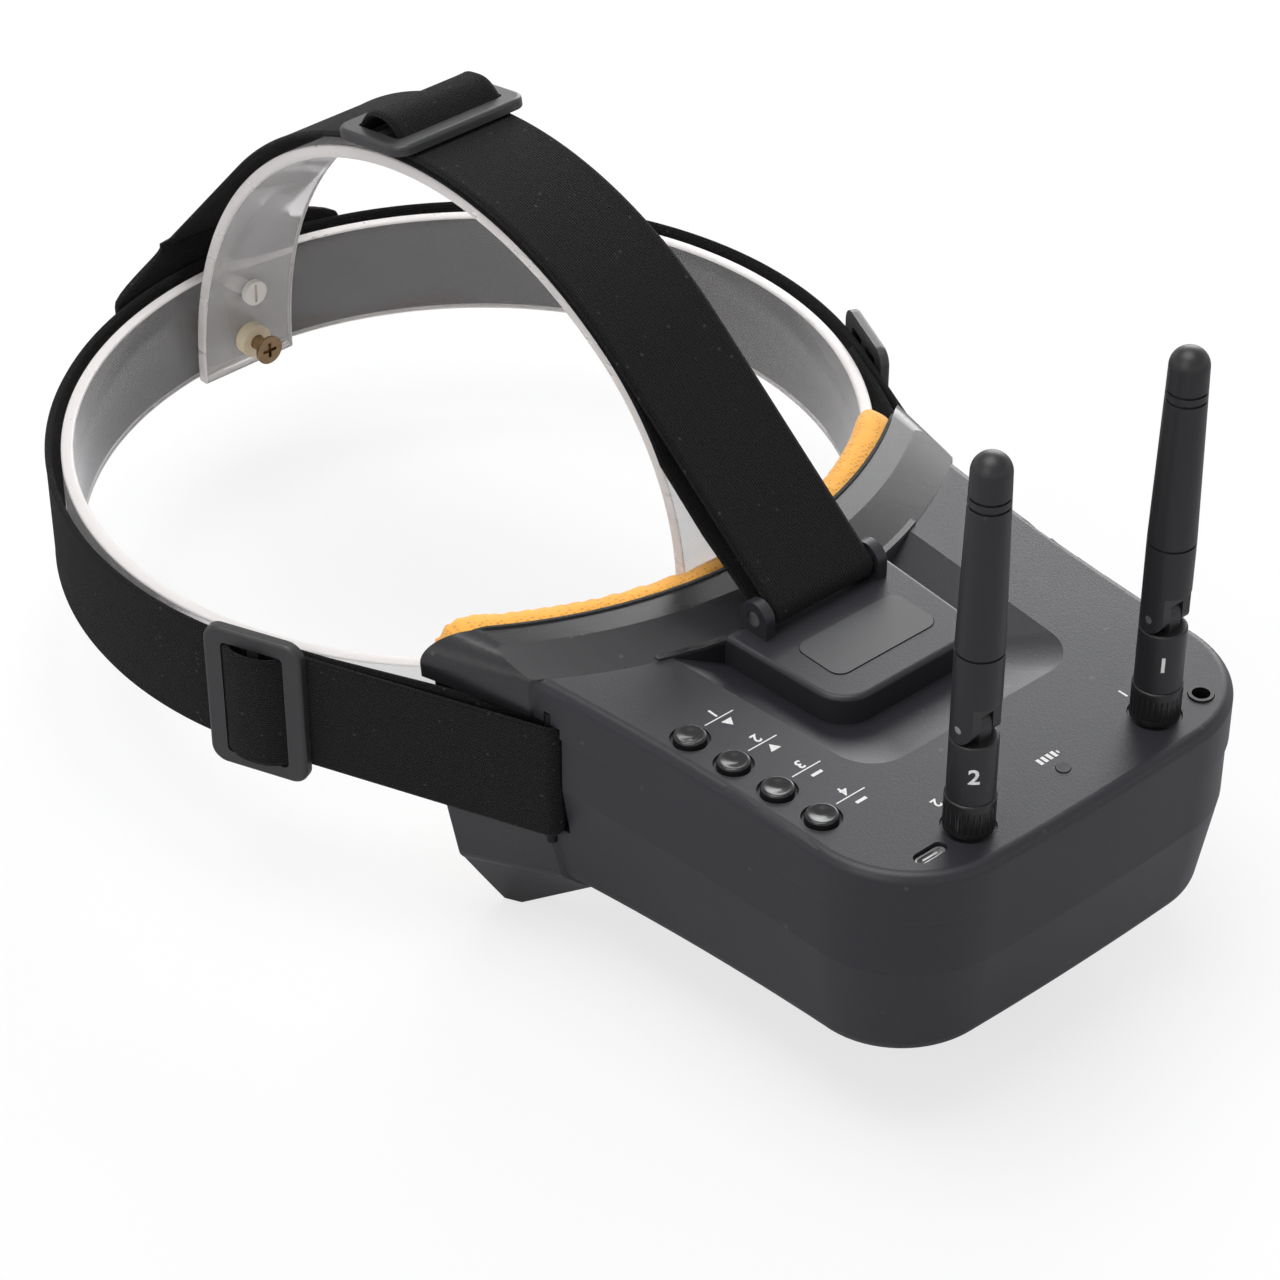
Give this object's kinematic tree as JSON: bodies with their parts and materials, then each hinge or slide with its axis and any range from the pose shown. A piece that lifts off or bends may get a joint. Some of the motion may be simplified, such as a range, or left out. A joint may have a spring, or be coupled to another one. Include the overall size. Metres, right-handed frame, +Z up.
{
  "type": "fpv goggles",
  "caption": "Box-shaped video goggles with a flared foam-lined face frame, two folding antennas, top buttons and an adjustable elastic head strap held in shape by a clear former.",
  "frame": {"origin": "centre of the base of the whole part's box: midway between the sides and between front and rear, on the level of the face frame's lowest edge", "axes": "+X to the wearer's left, +Y from the lens end of the casing back through the wearer's head, +Z up"},
  "size_m": [0.1952, 0.3012, 0.1615],
  "materials": {
    "case_plastic": "satin charcoal moulding",
    "face_frame_plastic": "semi-gloss black moulding",
    "strap_webbing": "black knitted elastic",
    "foam_cover_fabric": "orange mesh knit",
    "foam": "soft foam",
    "foam_edge": "black hook-and-loop edge",
    "clear_plastic": "clear flexible plastic with milky edges",
    "slider_plastic": "dark grey moulding",
    "label": "blank dark label",
    "brass": "turned brass",
    "cream_plastic": "cream washer",
    "white_plastic": "white moulding",
    "steel": "plated steel",
    "antenna_nut_plastic": "knurled black nut",
    "antenna_rubber": "matte black rubber",
    "button_plastic": "grey-black cap",
    "lens_glass": "clear polished",
    "inner_plastic": "dull black moulding",
    "screen": "dark display glass",
    "board_green": "solder mask over glass fibre",
    "black_plastic": "black moulding",
    "ribbon": "amber film",
    "battery_wrap": "shrink wrap"
  },
  "bodies": {
    "goggles": {"anchor_bar": "steel", "antenna_leads": "black_plastic", "antenna_sockets": "brass", "av_jack": "black_plastic", "battery": "battery_wrap", "battery_leads": "black_plastic", "board_screws": "steel", "bottom_shell": "case_plastic", "casing_screws": "steel", "clear_arch": "clear_plastic", "clear_ring": "clear_plastic", "crown_return": "strap_webbing", "crown_strap": "strap_webbing", "display_holder": "inner_plastic", "display_panel": "screen", "display_ribbon": "ribbon", "face_foam": "foam", "face_frame": "face_frame_plastic", "foam_backing": "foam_edge", "foam_cover": "foam_cover_fabric", "front_rivet": "steel", "input_board": "board_green", "key_board": "board_green", "label_plate": "label", "lens": "lens_glass", "lens_frame": "inner_plastic", "light_tunnel": "inner_plastic", "main_board": "board_green", "rear_patch": "strap_webbing", "rear_peg": "white_plastic", "rear_screw": "brass", "receiver_shields": "steel", "screw_washer": "cream_plastic", "side_return_left": "strap_webbing", "side_return_right": "strap_webbing", "side_strap_left": "strap_webbing", "side_strap_right": "strap_webbing", "status_light": "lens_glass", "strap_posts": "steel", "tact_switches": "black_plastic", "top_shell": "case_plastic", "usb_socket": "steel"},
    "button_1": {"button_1": "button_plastic"},
    "button_2": {"button_2": "button_plastic"},
    "button_3": {"button_3": "button_plastic"},
    "button_4": {"button_4": "button_plastic"},
    "antenna_nut_right": {"antenna_nut_right": "antenna_nut_plastic"},
    "antenna_base_right": {"antenna_base_right": "antenna_rubber", "antenna_pin_right": "steel"},
    "antenna_whip_right": {"antenna_whip_right": "antenna_rubber"},
    "antenna_nut_left": {"antenna_nut_left": "antenna_nut_plastic"},
    "antenna_base_left": {"antenna_base_left": "antenna_rubber", "antenna_pin_left": "steel"},
    "antenna_whip_left": {"antenna_whip_left": "antenna_rubber"},
    "side_slider_right": {"slider_right": "slider_plastic", "strap_hump_right": "strap_webbing"},
    "side_slider_left": {"slider_left": "slider_plastic", "strap_hump_left": "strap_webbing"},
    "crown_slider": {"slider_crown": "slider_plastic", "strap_hump_crown": "strap_webbing"}
  },
  "joints": [
    {"name": "press_button_1", "type": "slide", "parent": "goggles", "child": "button_1", "axis": [0, 0, -1], "range_m": [0, 0.0006], "stiffness_N_per_m": 600},
    {"name": "press_button_2", "type": "slide", "parent": "goggles", "child": "button_2", "axis": [0, 0, -1], "range_m": [0, 0.0006], "stiffness_N_per_m": 600},
    {"name": "press_button_3", "type": "slide", "parent": "goggles", "child": "button_3", "axis": [0, 0, -1], "range_m": [0, 0.0006], "stiffness_N_per_m": 600},
    {"name": "press_button_4", "type": "slide", "parent": "goggles", "child": "button_4", "axis": [0, 0, -1], "range_m": [0, 0.0006], "stiffness_N_per_m": 600},
    {"name": "turn_nut_right", "type": "hinge", "parent": "goggles", "child": "antenna_nut_right", "pos_m": [-0.027, -0.1388, 0.0771], "axis": [0, 0, 1], "continuous": true},
    {"name": "swivel_antenna_right", "type": "hinge", "parent": "goggles", "child": "antenna_base_right", "pos_m": [-0.027, -0.1388, 0.0885], "axis": [0, 0, 1], "continuous": true},
    {"name": "fold_antenna_right", "type": "hinge", "parent": "antenna_base_right", "child": "antenna_whip_right", "pos_m": [-0.027, -0.1388, 0.0989], "axis": [1, 0, 0], "range_deg": [0, 90]},
    {"name": "turn_nut_left", "type": "hinge", "parent": "goggles", "child": "antenna_nut_left", "pos_m": [0.027, -0.1388, 0.0771], "axis": [0, 0, 1], "continuous": true},
    {"name": "swivel_antenna_left", "type": "hinge", "parent": "goggles", "child": "antenna_base_left", "pos_m": [0.027, -0.1388, 0.0885], "axis": [0, 0, 1], "continuous": true},
    {"name": "fold_antenna_left", "type": "hinge", "parent": "antenna_base_left", "child": "antenna_whip_left", "pos_m": [0.027, -0.1388, 0.0989], "axis": [1, 0, 0], "range_deg": [0, 90]},
    {"name": "adjust_strap_right", "type": "slide", "parent": "goggles", "child": "side_slider_right", "axis": [0.3991, -0.9169, 0], "range_m": [0, 0.01]},
    {"name": "adjust_strap_left", "type": "slide", "parent": "goggles", "child": "side_slider_left", "axis": [-0.3991, -0.9169, 0], "range_m": [0, 0.01]},
    {"name": "adjust_crown_strap", "type": "hinge", "parent": "goggles", "child": "crown_slider", "pos_m": [0, 0.0422, 0.0365], "axis": [1, 0, 0], "range_deg": [0, 6]}
  ]
}
